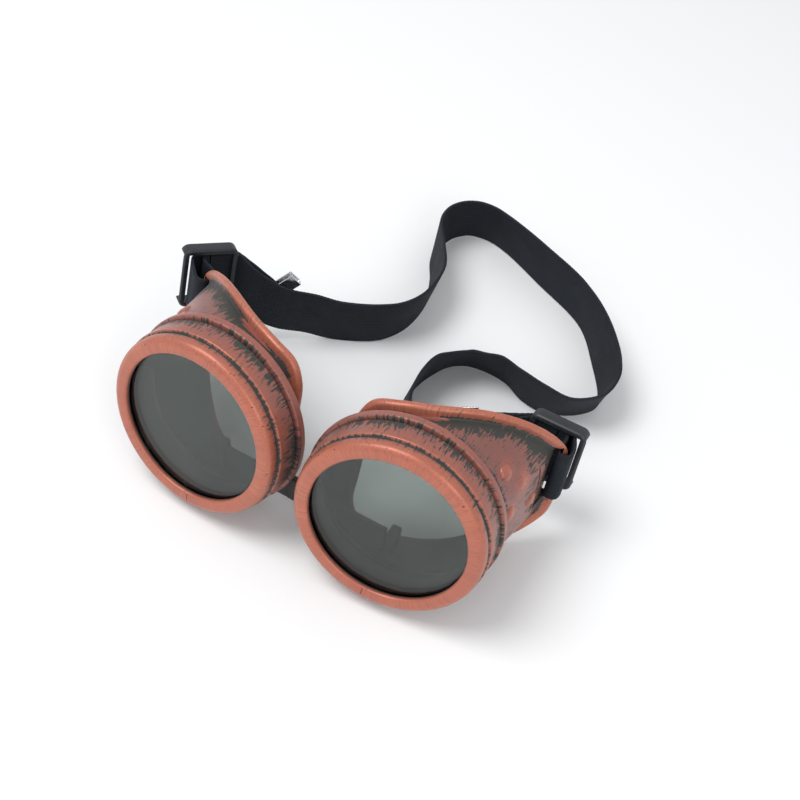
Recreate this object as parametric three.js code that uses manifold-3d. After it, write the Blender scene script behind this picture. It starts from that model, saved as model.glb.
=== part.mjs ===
// Round two-lens goggles: two screw-ring eyecups on a rubber nose bridge, with an elastic head strap.
// Millimetres. +X is the wearer-facing view's right, -Y the front of the lenses, +Z up.
// The origin is the middle of the nose bridge's front face.
import * as THREE from 'three';
import { mergeVertices } from 'three/addons/utils/BufferGeometryUtils.js';
import Module from 'manifold-3d';

const wasm = await Module();
wasm.setup();

// ---- driving dimensions ----
const CUP_HALF_SPACING = 32.1; // cup axis to the mid-plane, at the lens opening
const TOE_OUT = THREE.MathUtils.degToRad(5);
const TIP_UP = THREE.MathUtils.degToRad(7.8);
const GAP = 0.3; // between pieces that touch

// Lens pack and screw ring, as depth behind the ring's front face and radius
const OPENING_RADIUS = 23.5;
const LENS_RADIUS = 25;
const TINTED_LENS = { front: 2.1, back: 4.1 };
const CLEAR_LENS = { front: 4.4, back: 5.6 };
const GASKET = { front: 5.9, back: 6.7 };
const RING_RADIUS = 28.8;
const RING_BACK = 12;
const RING_BORE = 26.8;
const NECK = { front: 7, outer: 25.4, inner: 23.6 };
const THREAD = { pitch: 3, depth: 1, width: 1.3, tipWidth: 0.7, start: 7.75, neck: [0, 1.38], ring: [0.37, 1.66] };

// Eyecup, from its shoulder lip to the rim that meets the face
const LIP = { front: 12.6, back: 15.3, radius: 29.7, round: 0.5 };
const SKIRT = { front: 16.2, outer: 27.6, inner: 25.4 };
const RIM = { noseDepth: 22, wrap: 0.0349, wrapPower: 1.7, wrapStart: -14, flange: 3.4, wall: 5.6 };
const RIM_BOTTOM_SCALE = 0.98; // the chin side of the rim is a little shallower
const STRAP_SLOT = { inner: 31.2, outer: 33.9, height: 19.6, middle: 4.2, front: 38, back: 56 };
const BOSS = { radius: 3.3, height: 1.7 };
const BOSSES = [[23.2, 36], [28.4, 23], [34.2, 4], [20.6, 12]]; // depth, angle in degrees
const VENT_SLITS = [{ depth: 37, low: -4, high: 11 }, { depth: 40.5, low: -9, high: 11 }];
const VENT_SLIT_WIDTH = 1;

// Nose bridge
const BRIDGE = { width: 9, thickness: 1.6, front: 13.3, centre: -20, halfLength: 27.5 };
const BRIDGE_PAD = { width: 11, height: 8.6, thickness: 0.3 }; // the thicker middle of the bridge, on its front
const BRIDGE_SLOT_ROOM = 0.5; // all round the bridge
const STOP = { length: 3, depth: 4.6, height: 8 };

// Strap, sliders and strap clips
const STRAP = { width: 20, thickness: 1.1 };
const SQUEEZED_WIDTH = 17.2; // where the sliders and cup slots hold the strap
const LAYER_OFFSET = 0.68; // each of the two layers inside a slider, from the slider's middle
const SLIDER = { length: 18, height: 22, thickness: 4.6, rail: 1.7, bar: 1.8, barDepth: 0.8 };
const CLIP = { length: 4.5, wall: 0.5, clearance: 0.3, height: 20.6 };

const CUP_SEGMENTS = 56;
const RING_SEGMENTS = 60;

// ---- materials ----
const copper = new THREE.MeshStandardMaterial({ color: 0xc87660, roughness: 0.5, metalness: 0.4 });
const tinted = new THREE.MeshStandardMaterial({ color: 0x46504e, roughness: 0.08, metalness: 0 });
const clear = new THREE.MeshStandardMaterial({ color: 0xb9c4c0, roughness: 0.06, metalness: 0 });
const rubber = new THREE.MeshStandardMaterial({ color: 0x2b2d2c, roughness: 0.8, metalness: 0 });
const webbing = new THREE.MeshStandardMaterial({ color: 0x242930, roughness: 0.9, metalness: 0 });
const plastic = new THREE.MeshStandardMaterial({ color: 0x1d2127, roughness: 0.5, metalness: 0 });
const steel = new THREE.MeshStandardMaterial({ color: 0xb9bcbf, roughness: 0.3, metalness: 1 });

// ---- geometry helpers ----

// An indexed geometry from points and triangles, turned inside out if its faces point inward.
function closedGeometry(points, triangles) {
  let volume = 0;
  for (let i = 0; i < triangles.length; i += 3) {
    const [a, b, c] = [points[triangles[i]], points[triangles[i + 1]], points[triangles[i + 2]]];
    volume += a.dot(b.clone().cross(c));
  }
  const outward = volume > 0 ? triangles : triangles.slice().reverse();
  const geometry = new THREE.BufferGeometry();
  geometry.setAttribute('position', new THREE.Float32BufferAttribute(points.flatMap((p) => p.toArray()), 3));
  geometry.setIndex(outward);
  return geometry;
}

// Joins a row of sections, each a loop of points. A ring of sections closes on itself; a row gets two end caps.
function loft(sections, isRing) {
  const size = sections[0].length;
  const triangles = [];
  const rows = isRing ? sections.length : sections.length - 1;
  for (let row = 0; row < rows; row++) {
    const start = row * size;
    const next = ((row + 1) % sections.length) * size;
    for (let j = 0; j < size; j++) {
      const k = (j + 1) % size;
      triangles.push(start + j, start + k, next + k, start + j, next + k, next + j);
    }
  }
  if (!isRing) {
    const last = (sections.length - 1) * size;
    for (let j = 1; j < size - 1; j++) {
      triangles.push(0, j + 1, j, last, last + j, last + j + 1);
    }
  }
  return closedGeometry(sections.flat(), triangles);
}

// A body of revolution about Y from a closed [depth, radius] profile.
function turned(profile, segments) {
  const sections = [];
  for (let i = 0; i < segments; i++) {
    const angle = (2 * Math.PI * i) / segments;
    sections.push(profile.map(([depth, radius]) => new THREE.Vector3(
      radius * Math.cos(angle), depth, radius * Math.sin(angle))));
  }
  return loft(sections, true);
}

// A solid disc about Y with a small chamfer on both edges.
function disc({ front, back }, radius, segments) {
  const chamfer = 0.3;
  const profile = [
    new THREE.Vector2(0, front),
    new THREE.Vector2(radius - chamfer, front),
    new THREE.Vector2(radius, front + chamfer),
    new THREE.Vector2(radius, back - chamfer),
    new THREE.Vector2(radius - chamfer, back),
    new THREE.Vector2(0, back),
  ];
  return new THREE.LatheGeometry(profile, segments);
}

function box(low, high) {
  const geometry = new THREE.BoxGeometry(high[0] - low[0], high[1] - low[1], high[2] - low[2]);
  geometry.translate((low[0] + high[0]) / 2, (low[1] + high[1]) / 2, (low[2] + high[2]) / 2);
  return geometry;
}

// The same surface with one vertex at each place.
function bareMerged(source) {
  const bare = source.clone();
  bare.deleteAttribute('normal');
  bare.deleteAttribute('uv');
  return mergeVertices(bare, 1e-4);
}

function toManifold(source) {
  const merged = bareMerged(source);
  return new wasm.Manifold(new wasm.Mesh({
    numProp: 3,
    vertProperties: new Float32Array(merged.attributes.position.array),
    triVerts: new Uint32Array(merged.index.array),
  }));
}

function fromManifold(manifold) {
  const mesh = manifold.getMesh();
  const geometry = new THREE.BufferGeometry();
  geometry.setAttribute('position', new THREE.BufferAttribute(new Float32Array(mesh.vertProperties), 3));
  geometry.setIndex(new THREE.BufferAttribute(new Uint32Array(mesh.triVerts), 1));
  return geometry;
}

// Joins the first geometry with the added ones, then cuts the removed ones away.
function combine(base, added, removed) {
  let solid = toManifold(base);
  for (const geometry of added) {
    solid = solid.add(toManifold(geometry));
  }
  for (const geometry of removed) {
    solid = solid.subtract(toManifold(geometry));
  }
  return fromManifold(solid);
}

// A helical ridge about Y over a span of turns, rooted a little inside the wall it grows from.
// Its hand is the same on both sides of the part, so it is never mirrored.
function threadRidge(rootRadius, tipRadius, [firstTurn, lastTurn], shift) {
  const steps = Math.round((lastTurn - firstTurn) * 36);
  const sections = [];
  for (let i = 0; i <= steps; i++) {
    const turn = THREE.MathUtils.lerp(firstTurn, lastTurn, i / steps);
    const angle = 2 * Math.PI * turn;
    const depth = THREAD.start + shift + THREAD.pitch * turn;
    const place = (radius, along) => new THREE.Vector3(
      radius * Math.cos(angle), depth + along, -radius * Math.sin(angle));
    sections.push([
      place(rootRadius, -THREAD.width / 2),
      place(tipRadius, -THREAD.tipWidth / 2),
      place(tipRadius, THREAD.tipWidth / 2),
      place(rootRadius, THREAD.width / 2),
    ]);
  }
  return loft(sections, false);
}

// ---- eyecup ----

// The rim's outline seen along the cup axis, as [outward, up] for the brow side.
const RIM_BROW = [
  [35.7, 0], [35.5, 10], [34.4, 13.6], [28.6, 20.2], [20, 25.6], [11, 28.1],
  [0, 28], [-10, 26.8], [-17.3, 23.9], [-20.9, 17.5], [-21.8, 8], [-21.9, 0],
];

function rimOutline() {
  const chin = RIM_BROW.slice(1, -1).reverse().map(([x, z]) => [x, -z * RIM_BOTTOM_SCALE]);
  const points = [...RIM_BROW, ...chin].map(([x, z]) => new THREE.Vector3(x, 0, z));
  return new THREE.CatmullRomCurve3(points, true, 'centripetal');
}

function rimDepth(x) {
  return RIM.noseDepth + RIM.wrap * Math.max(0, x - RIM.wrapStart) ** RIM.wrapPower;
}

// The closed wall section of a cup where its outline passes through rimPoint.
function cupSection(rimPoint) {
  const distance = Math.hypot(rimPoint.x, rimPoint.z);
  const [cos, sin] = [rimPoint.x / distance, rimPoint.z / distance];
  const depth = rimDepth(rimPoint.x);
  const at = (radius, y) => new THREE.Vector3(radius * cos, y, radius * sin);
  const between = (from, to, share, curve) => at(
    THREE.MathUtils.lerp(from[1], to[1], share), THREE.MathUtils.lerp(from[0], to[0], share ** curve));
  const skirtFront = [SKIRT.front, SKIRT.outer];
  const skirtBack = [depth - 2.2, distance - RIM.flange];
  const innerBack = [depth + 0.8, distance - RIM.wall];
  const innerFront = [SKIRT.front, SKIRT.inner];
  return [
    at(NECK.outer, NECK.front),
    at(NECK.outer, LIP.front),
    at(LIP.radius - LIP.round, LIP.front),
    at(LIP.radius, LIP.front + LIP.round),
    at(LIP.radius, LIP.back - LIP.round),
    at(LIP.radius - LIP.round, LIP.back),
    at(SKIRT.outer + 0.5, LIP.back + 0.4),
    between(skirtFront, skirtBack, 0.12, 0.8),
    between(skirtFront, skirtBack, 0.45, 0.8),
    between(skirtFront, skirtBack, 0.8, 0.85),
    at(...skirtBack.toReversed()),
    at(distance - 0.7, depth - 1.7),
    at(distance, depth - 0.8),
    at(distance - 0.4, depth + 0.5),
    at(distance - 1.6, depth + 1),
    at(innerBack[1], innerBack[0]),
    between(innerBack, innerFront, 0.3, 1.15),
    between(innerBack, innerFront, 0.7, 1.15),
    at(...innerFront.toReversed()),
    at(NECK.inner, LIP.front),
    at(NECK.inner, NECK.front),
  ];
}

// Where a cup stands between the temples: turned outward, its front tipped up.
function cupMatrix(side) {
  const matrix = new THREE.Matrix4().makeRotationZ(side * TOE_OUT);
  matrix.multiply(new THREE.Matrix4().makeRotationX(-TIP_UP));
  matrix.setPosition(side * CUP_HALF_SPACING, 0, 0);
  return matrix;
}

// The nose bridge as a straight strip, or the room round it.
function bridgeBox(room) {
  const { width, thickness, front, centre, halfLength } = BRIDGE;
  return box(
    [-halfLength - room, front - room, centre - width / 2 - room],
    [halfLength + room, front + thickness + room, centre + width / 2 + room]);
}

// Everything about a cup is modelled with +X outward, then mirrored in its coordinates for the left side.
// The thread goes on afterwards, unmirrored.
function mirrored(source, side) {
  const geometry = source.index ? source : bareMerged(source);
  if (side > 0) {
    return geometry;
  }
  geometry.scale(-1, 1, 1);
  geometry.setIndex(Array.from(geometry.index.array).reverse());
  return geometry;
}

function bossGeometry([depth, degrees]) {
  const angle = THREE.MathUtils.degToRad(degrees);
  const wall = THREE.MathUtils.lerp(SKIRT.outer, 32.2, (depth - SKIRT.front) / 30);
  const geometry = new THREE.SphereGeometry(BOSS.radius, 14, 8);
  geometry.scale(BOSS.height / BOSS.radius, 1, 0.8);
  geometry.rotateY(-angle);
  geometry.translate((wall - 0.4) * Math.cos(angle), depth, (wall - 0.4) * Math.sin(angle));
  return geometry;
}

function eyecup(side) {
  const outline = rimOutline();
  const sections = [];
  for (let i = 0; i < CUP_SEGMENTS; i++) {
    sections.push(cupSection(outline.getPointAt(i / CUP_SEGMENTS)));
  }
  const strapSlot = box(
    [STRAP_SLOT.inner, STRAP_SLOT.front, STRAP_SLOT.middle - STRAP_SLOT.height / 2],
    [STRAP_SLOT.outer, STRAP_SLOT.back, STRAP_SLOT.middle + STRAP_SLOT.height / 2]);
  const slits = VENT_SLITS.map(({ depth, low, high }) => box(
    [26, depth - VENT_SLIT_WIDTH / 2, low], [36, depth + VENT_SLIT_WIDTH / 2, high]));
  const bridgeSlot = bridgeBox(BRIDGE_SLOT_ROOM);
  bridgeSlot.applyMatrix4(cupMatrix(1).invert());
  const shell = combine(loft(sections, true), BOSSES.map(bossGeometry), [strapSlot, bridgeSlot, ...slits]);
  const thread = threadRidge(NECK.outer - 0.3, NECK.outer + THREAD.depth, THREAD.neck, 0);
  return combine(mirrored(shell, side), [thread], []);
}

// ---- lens ring and lens pack ----

function lensRing() {
  const profile = [
    [0.4, OPENING_RADIUS],
    [0, OPENING_RADIUS + 0.5],
    [0, 26.6],
    [0.4, 27.6],
    [1.3, 28.2],
    [3.7, 28.3],
    [4.1, 27.8],
    [4.5, 27.8],
    [4.9, RING_RADIUS],
    [RING_BACK - 0.5, RING_RADIUS],
    [RING_BACK, RING_RADIUS - 0.5],
    [RING_BACK, RING_BORE],
    [NECK.front - GAP, RING_BORE],
    [NECK.front - GAP, LENS_RADIUS + 0.35],
    [TINTED_LENS.front - GAP, LENS_RADIUS + 0.35],
    [TINTED_LENS.front - GAP, OPENING_RADIUS],
  ];
  const ridge = threadRidge(RING_BORE + 0.3, RING_BORE - 0.9, THREAD.ring, -THREAD.pitch / 2);
  return combine(turned(profile, RING_SEGMENTS), [ridge], []);
}

function gasket() {
  const { front, back } = GASKET;
  return turned([[front, 23.6], [front, LENS_RADIUS], [back, LENS_RADIUS], [back, 23.6]], RING_SEGMENTS);
}

// ---- strap pieces ----

// A band through stations, each a foot point on its lower edge and a head point a strap width away.
function band(stations, steps) {
  const feet = new THREE.CatmullRomCurve3(stations.map((s) => s.foot), false, 'centripetal');
  const sections = [];
  for (let i = 0; i <= steps; i++) {
    const t = i / steps;
    const place = Math.min(t * (stations.length - 1), stations.length - 1 - 1e-9);
    const index = Math.floor(place);
    const lean = stations[index].lean.clone().lerp(stations[index + 1].lean, place - index);
    const foot = feet.getPoint(t);
    const face = feet.getTangent(t).cross(lean).setLength(STRAP.thickness / 2);
    sections.push([
      foot.clone().sub(face),
      foot.clone().add(face),
      foot.clone().add(lean).add(face),
      foot.clone().add(lean).sub(face),
    ]);
  }
  return loft(sections, false);
}

// A station from its foot and how far the head leans sideways; the height follows from the strap's width.
function station([x, y, z, leanX, leanY]) {
  const rise = Math.sqrt(STRAP.width ** 2 - leanX ** 2 - leanY ** 2);
  return { foot: new THREE.Vector3(x, y, z), lean: new THREE.Vector3(leanX, leanY, rise) };
}

// A band that stands across the cup's own plan, through [x, y] points, its middle rising from one height to another
// and back again.
function loopBand(plan, ends, middle, steps) {
  const stations = plan.map(([x, y], i) => {
    const share = 1 - Math.abs((2 * i) / (plan.length - 1) - 1);
    const height = THREE.MathUtils.lerp(ends, middle, Math.min(1, 1.6 * share));
    return {
      foot: new THREE.Vector3(x, y, height - SQUEEZED_WIDTH / 2),
      lean: new THREE.Vector3(0, 0, SQUEEZED_WIDTH),
    };
  });
  return band(stations, steps);
}

// A moulded slider about its own middle: +X is the strap's way out, +Y the side away from the face.
function sliderGeometry() {
  const { length, height, thickness, rail, bar, barDepth } = SLIDER;
  const outline = new THREE.Shape();
  const [x, z, r] = [length / 2, height / 2, 2.6];
  outline.moveTo(-x + r, -z);
  outline.lineTo(x - r, -z);
  outline.absarc(x - r, -z + r, r, -Math.PI / 2, 0, false);
  outline.lineTo(x, z - r);
  outline.absarc(x - r, z - r, r, 0, Math.PI / 2, false);
  outline.lineTo(-x + r, z);
  outline.absarc(-x + r, z - r, r, Math.PI / 2, Math.PI, false);
  outline.lineTo(-x, -z + r);
  outline.absarc(-x + r, -z + r, r, Math.PI, Math.PI * 1.5, false);
  const block = new THREE.ExtrudeGeometry(outline, {
    depth: thickness - 1, bevelEnabled: true, bevelThickness: 0.5, bevelSize: 0.5, bevelOffset: -0.5,
    bevelSegments: 1, curveSegments: 4,
  });
  block.translate(0, 0, -(thickness - 1) / 2);
  block.rotateX(Math.PI / 2);
  const inside = z - rail;
  const channel = box([-x - 1, -thickness / 2 + barDepth, -inside], [x + 1, thickness / 2 - barDepth, inside]);
  const frontWindow = box([-x + bar, -thickness, -inside], [x - bar, 0, inside]);
  const rearWindows = [-1, 1].map((sign) => {
    const near = sign * (bar / 2);
    const far = sign * (x + 1);
    return box([Math.min(near, far), 0, -inside], [Math.max(near, far), thickness, inside]);
  });
  return combine(block, [], [channel, frontWindow, ...rearWindows]);
}

// A folded sheet clip over the strap's cut end: +X is the strap's way out, +Z across the strap.
function clipGeometry() {
  const inner = STRAP.thickness / 2 + CLIP.clearance;
  const outer = inner + CLIP.wall;
  const tip = CLIP.clearance + CLIP.wall;
  const shape = new THREE.Shape();
  shape.moveTo(-CLIP.length, -outer);
  shape.lineTo(tip - 0.3, -outer);
  shape.lineTo(tip, -outer + 0.3);
  shape.lineTo(tip, outer - 0.3);
  shape.lineTo(tip - 0.3, outer);
  shape.lineTo(-CLIP.length, outer);
  shape.lineTo(-CLIP.length, inner);
  shape.lineTo(CLIP.clearance, inner);
  shape.lineTo(CLIP.clearance, -inner);
  shape.lineTo(-CLIP.length, -inner);
  shape.closePath();
  const geometry = new THREE.ExtrudeGeometry(shape, { depth: CLIP.height, bevelEnabled: false });
  geometry.translate(0, 0, -CLIP.height / 2);
  return geometry;
}

// Each side's strap loop in its cup's plan, [outward, rearward] from the cup axis: from the strap's own layer
// in the slider, through the cup's slot and round its bar, back to the layer of the loose tail. The tail's bend and
// end are places counted in the strap's stations from the slider's middle, with their stand-off from the strap.
const STRAP_ENDS = {
  right: {
    side: 1,
    slider: { centre: [29.8, 56.9], way: [-0.996, 0.087], height: 3.6, strapHeight: 3.4 },
    tail: { bend: { place: 2.5, offset: 1.8 }, end: { place: 3.65, offset: 2.6 } },
    loop: [
      [32.6, 55.2], [33, 53.6], [32.9, 51], [32.6, 48.4], [32.6, 46.4], [33.2, 45],
      [34.4, 44.6], [36, 45.4], [36.6, 47.8], [36.2, 51], [35.3, 54.2], [34.7, 56.3], [33.4, 57.2],
    ],
  },
  left: {
    side: -1,
    slider: { centre: [41.1, 57.2], way: [-0.573, 0.82], height: 4.8, strapHeight: 4.3 },
    tail: { bend: { place: 2.25, offset: 1.5 }, end: { place: 3.15, offset: 2.6 } },
    loop: [
      [41.2, 54.6], [39.6, 53.4], [36.8, 52.4], [34.3, 51.2], [32.8, 49.4], [32.6, 47.2],
      [33, 45.4], [34.4, 44.6], [36.4, 45], [39, 47.2], [42, 50], [43.7, 52.4], [43.7, 54.4],
    ],
  },
};

// The strap's long run between the sliders, as [foot x, y, z, lean x, y], from the left slider to the right one.
// It comes down from the left slider, stands on its edge in an open loop, and climbs behind the right cup.
const FLOOR = -31.4;
const STRAP_RUN = [
  [-56.5, 68.5, -20, 1.5, 1],
  [-49.5, 74.5, -26, 3.5, -0.5],
  [-41.5, 81, -28.5, 4, -1],
  [-34, 86.5, FLOOR, 3.5, -1.5],
  [-22, 94, FLOOR, 3, -2],
  [-18, 99.5, FLOOR, 4, -2],
  [-15.5, 108, FLOOR, 5, -0.5],
  [-16, 122, FLOOR, 4.5, 0.5],
  [-20, 134, FLOOR, 2, 0.5],
  [-25.5, 145, FLOOR, 1, 0],
  [-26.5, 154, FLOOR, 1, -1],
  [-25, 162, FLOOR, 2, -2.5],
  [-20.5, 167.5, FLOOR, 2, -4],
  [-13, 169, FLOOR, 0.5, -4.5],
  [-5, 167, FLOOR, -1, -4],
  [13, 158, FLOOR, -1.5, -2],
  [35, 146, FLOOR, -1, -1.5],
  [47, 130, FLOOR, 1.5, 1],
  [55, 116, FLOOR, 3, 0.5],
  [55.5, 110.5, FLOOR, 5, -2],
  [52.5, 105.5, FLOOR, 6.5, -6],
  [47, 101, FLOOR, 4.5, -8.5],
  [40.5, 98.5, FLOOR, 1.5, -7],
  [33.5, 99.5, FLOOR, -1, -6.5],
  [26, 103.5, FLOOR, -1.5, -8],
  [18, 104.5, FLOOR, 1, -10],
  [10.5, 103, FLOOR, 4.5, -9.5],
  [5.5, 98.5, FLOOR, 7.5, -7],
  [3, 92.5, FLOOR, 7, -5],
  [1.5, 86.5, FLOOR, 5.5, -4],
  [1, 81, FLOOR, 5, -6.5],
  [1.5, 75, FLOOR, 5.5, -9.5],
  [4, 69, FLOOR, 5.5, -9],
  [9, 62.5, -29, 4, -8],
  [15, 57.5, -26, 2, -5],
  [22, 54, -22.5, 0, -2],
  [33, 52.5, -20, -2, -1],
  [43.5, 56, -17, -1.5, -0.5],
];

// ---- assembly ----
const goggles = new THREE.Group();
const openings = new THREE.Group(); // a frame whose origin lies midway between the two lens openings
goggles.add(openings);

function addMesh(parent, name, geometry, material) {
  const mesh = new THREE.Mesh(geometry, material);
  mesh.name = name;
  parent.add(mesh);
  return mesh;
}

function cupFrame(side) {
  const group = new THREE.Group();
  group.applyMatrix4(cupMatrix(side));
  group.updateMatrixWorld(true);
  openings.add(group);
  return group;
}

// A point or direction on the slider's own axes, in the cup's plan: along the strap's way out, and away from the face.
function sliderAxes({ centre, way }) {
  const along = new THREE.Vector2(...way).normalize();
  const away = new THREE.Vector2(along.y, -along.x);
  const at = (s, q) => [
    centre[0] + s * along.x + q * away.x,
    centre[1] + s * along.y + q * away.y,
  ];
  return { along, away, at };
}

// Stations through a slider's straight channel, on the strap's own layer (-1) or the loose tail's (1).
function layerStations(name, layer) {
  const { side, slider } = STRAP_ENDS[name];
  const { at } = sliderAxes(slider);
  const matrix = cupMatrix(side);
  return [0.2, 4.8, 9.3].map((s) => {
    const [x, y] = at(s, layer * LAYER_OFFSET);
    const [low, high] = [slider.strapHeight - SQUEEZED_WIDTH / 2, slider.strapHeight + SQUEEZED_WIDTH / 2];
    const foot = new THREE.Vector3(side * x, y, low).applyMatrix4(matrix);
    const head = new THREE.Vector3(side * x, y, high).applyMatrix4(matrix);
    return { foot, lean: head.sub(foot) };
  });
}

function runStations() {
  return [...layerStations('left', -1), ...STRAP_RUN.map(station), ...layerStations('right', -1).reverse()];
}

// The loose tail follows the strap's run, standing a little further off it, and ends straight for its clip.
function tailOf(name) {
  const run = name === 'left' ? runStations() : runStations().reverse();
  const { tail } = STRAP_ENDS[name];
  const [bend, end] = [tail.bend, tail.end].map(({ place, offset }) => {
    const [near, far] = [run[Math.floor(place)], run[Math.floor(place) + 1]];
    const share = place % 1;
    const lean = near.lean.clone().lerp(far.lean, share);
    const face = far.foot.clone().sub(near.foot).cross(lean).setLength(STRAP_ENDS[name].side * offset);
    return { foot: near.foot.clone().lerp(far.foot, share).add(face), lean };
  });
  const way = end.foot.clone().sub(bend.foot).normalize();
  end.lean.addScaledVector(way, -end.lean.dot(way));
  const clipStart = { foot: end.foot.clone().addScaledVector(way, -CLIP.length), lean: end.lean };
  return [...layerStations(name, 1), bend, clipStart, end];
}

function strapEnd(parent, name) {
  const { side, slider, loop } = STRAP_ENDS[name];
  const { along, away, at } = sliderAxes(slider);
  const innerLayer = [at(-0.2, -LAYER_OFFSET), at(-1.6, -LAYER_OFFSET)];
  const outerLayer = [at(-1.6, LAYER_OFFSET), at(-0.2, LAYER_OFFSET)];
  const plan = [...innerLayer, ...loop, ...outerLayer];
  addMesh(parent, `${name}_strap_loop`, mirrored(loopBand(plan, slider.strapHeight, STRAP_SLOT.middle, 56), side), webbing);

  const tailStations = tailOf(name);
  addMesh(openings, `${name}_strap_tail`, band(tailStations, 20), webbing);

  const end = tailStations.at(-1);
  const before = tailStations.at(-2);
  const across = end.lean.clone().normalize();
  const way = end.foot.clone().sub(before.foot);
  const face = across.clone().cross(way).normalize();
  const out = face.clone().cross(across);
  const clipPlace = new THREE.Matrix4().makeBasis(out, face, across);
  clipPlace.setPosition(end.foot.clone().addScaledVector(across, STRAP.width / 2));
  const clip = clipGeometry();
  clip.applyMatrix4(clipPlace);
  addMesh(openings, `${name}_strap_clip`, clip, steel);

  const down = new THREE.Vector3(0, 0, -1);
  const sliderPlace = new THREE.Matrix4().makeBasis(
    new THREE.Vector3(along.x, along.y, 0), new THREE.Vector3(away.x, away.y, 0), down);
  sliderPlace.setPosition(slider.centre[0], slider.centre[1], slider.height);
  const sliderBody = sliderGeometry();
  sliderBody.applyMatrix4(sliderPlace);
  addMesh(parent, `${name}_slider`, mirrored(sliderBody, side), plastic);
}

for (const [name, side] of [['left', -1], ['right', 1]]) {
  const cup = cupFrame(side);
  addMesh(cup, `${name}_eyecup`, eyecup(side), copper);
  addMesh(cup, `${name}_lens_ring`, lensRing(), copper);
  addMesh(cup, `${name}_tinted_lens`, disc(TINTED_LENS, LENS_RADIUS, RING_SEGMENTS), tinted);
  addMesh(cup, `${name}_clear_lens`, disc(CLEAR_LENS, LENS_RADIUS, RING_SEGMENTS), clear);
  addMesh(cup, `${name}_lens_gasket`, gasket(), rubber);
  strapEnd(cup, name);
}

addMesh(openings, 'strap_run', band(runStations(), 132), webbing);

const padFront = new THREE.Vector3(0, BRIDGE.front - BRIDGE_PAD.thickness, BRIDGE.centre);
const pad = box(
  [-BRIDGE_PAD.width / 2, padFront.y, BRIDGE.centre - BRIDGE_PAD.height / 2],
  [BRIDGE_PAD.width / 2, BRIDGE.front + BRIDGE.thickness / 2, BRIDGE.centre + BRIDGE_PAD.height / 2]);
addMesh(openings, 'nose_bridge', combine(bridgeBox(0), [pad], []), rubber);

for (const [name, side] of [['left', -1], ['right', 1]]) {
  const near = BRIDGE.halfLength + GAP;
  const stop = box(
    [Math.min(side * near, side * (near + STOP.length)), 0, -STOP.height / 2],
    [Math.max(side * near, side * (near + STOP.length)), STOP.depth, STOP.height / 2]);
  stop.translate(0, BRIDGE.front, BRIDGE.centre);
  addMesh(openings, `${name}_bridge_stop`, stop, rubber);
}

openings.position.copy(padFront).negate();

export default goggles;
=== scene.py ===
"""Looks for the round two-lens goggles: worn copper paint, tinted glass, black plastic and webbing.

Shapes are worked out in millimetres in a frame midway between the lens openings, then placed in
the row frame.
"""

import math

import bmesh
import bpy
import numpy as np
from mathutils import Matrix, Vector


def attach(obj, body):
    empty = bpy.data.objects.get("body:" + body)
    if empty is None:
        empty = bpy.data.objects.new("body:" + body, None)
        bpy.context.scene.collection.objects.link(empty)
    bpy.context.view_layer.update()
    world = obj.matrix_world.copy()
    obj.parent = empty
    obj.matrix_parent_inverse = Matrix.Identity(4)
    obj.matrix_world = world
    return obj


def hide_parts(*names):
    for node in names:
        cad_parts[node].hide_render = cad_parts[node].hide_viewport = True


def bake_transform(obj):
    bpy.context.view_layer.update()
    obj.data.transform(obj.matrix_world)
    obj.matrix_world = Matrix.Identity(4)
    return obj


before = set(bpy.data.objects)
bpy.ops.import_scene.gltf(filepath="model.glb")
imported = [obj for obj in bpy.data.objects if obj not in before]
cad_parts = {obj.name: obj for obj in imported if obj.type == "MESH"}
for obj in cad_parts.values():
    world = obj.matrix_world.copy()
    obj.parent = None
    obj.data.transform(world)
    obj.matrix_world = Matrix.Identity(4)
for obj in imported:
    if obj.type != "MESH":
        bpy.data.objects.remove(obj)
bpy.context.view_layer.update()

MM = 0.001
OPENINGS_TO_ROW = np.array([0.0, -13.0, 20.0])

# ---- driving dimensions, as in the CAD, in millimetres and degrees ----
CUP_HALF_SPACING = 32.1
TOE_OUT = 5.0
TIP_UP = 7.8
OPENING_RADIUS = 23.5
LENS_RADIUS = 25.0
RING_RADIUS = 28.8
RING_BACK = 12.0
RING_BORE = 26.8
NECK_FRONT, NECK_OUTER, NECK_INNER = 7.0, 25.4, 23.6
THREAD_PITCH, THREAD_START, THREAD_WIDTH, THREAD_TIP = 3.0, 7.75, 1.3, 0.7
THREAD_STEPS_PER_TURN = 72
CUP_THREAD_TURNS, RING_THREAD_TURNS = (0, 1.38), (0.37, 1.66)
LIP_FRONT, LIP_BACK, LIP_RADIUS = 12.6, 15.3, 29.7
SKIRT_FRONT, SKIRT_OUTER, SKIRT_INNER = 16.2, 27.6, 25.4
RIM_FLANGE, RIM_WALL = 3.4, 5.6
RIM_NOSE_DEPTH = 22
RIM_SWEEP_START, RIM_SWEEP, RIM_SWEEP_POWER = -14, 0.0349, 1.7
RIM_BOTTOM_SCALE = 0.98
RIM_BROW = [
    (35.7, 0), (35.5, 10), (34.4, 13.6), (28.6, 20.2), (20, 25.6), (11, 28.1),
    (0, 28), (-10, 26.8), (-17.3, 23.9), (-20.9, 17.5), (-21.8, 8), (-21.9, 0),
]
STRAP_SLOT = ((31.2, 38.0, -5.6), (33.9, 56.0, 14.0))
VENT_SLITS = [((26.0, 36.5, -4.0), (36.0, 37.5, 11.0)), ((26.0, 40.0, -9.0), (36.0, 41.0, 11.0))]
BOSSES = [(23.2, 36.0), (28.4, 23.0), (34.2, 4.0), (20.6, 12.0)]
BOSS_RADIUS, BOSS_HEIGHT, BOSS_SINK = 3.3, 1.7, 0.4
TEMPLE_RADIUS, TEMPLE_LENGTH = 32.2, 30
BRIDGE_SLOT = ((-28.0, 12.8, -25.0), (28.0, 15.4, -15.0))

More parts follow.
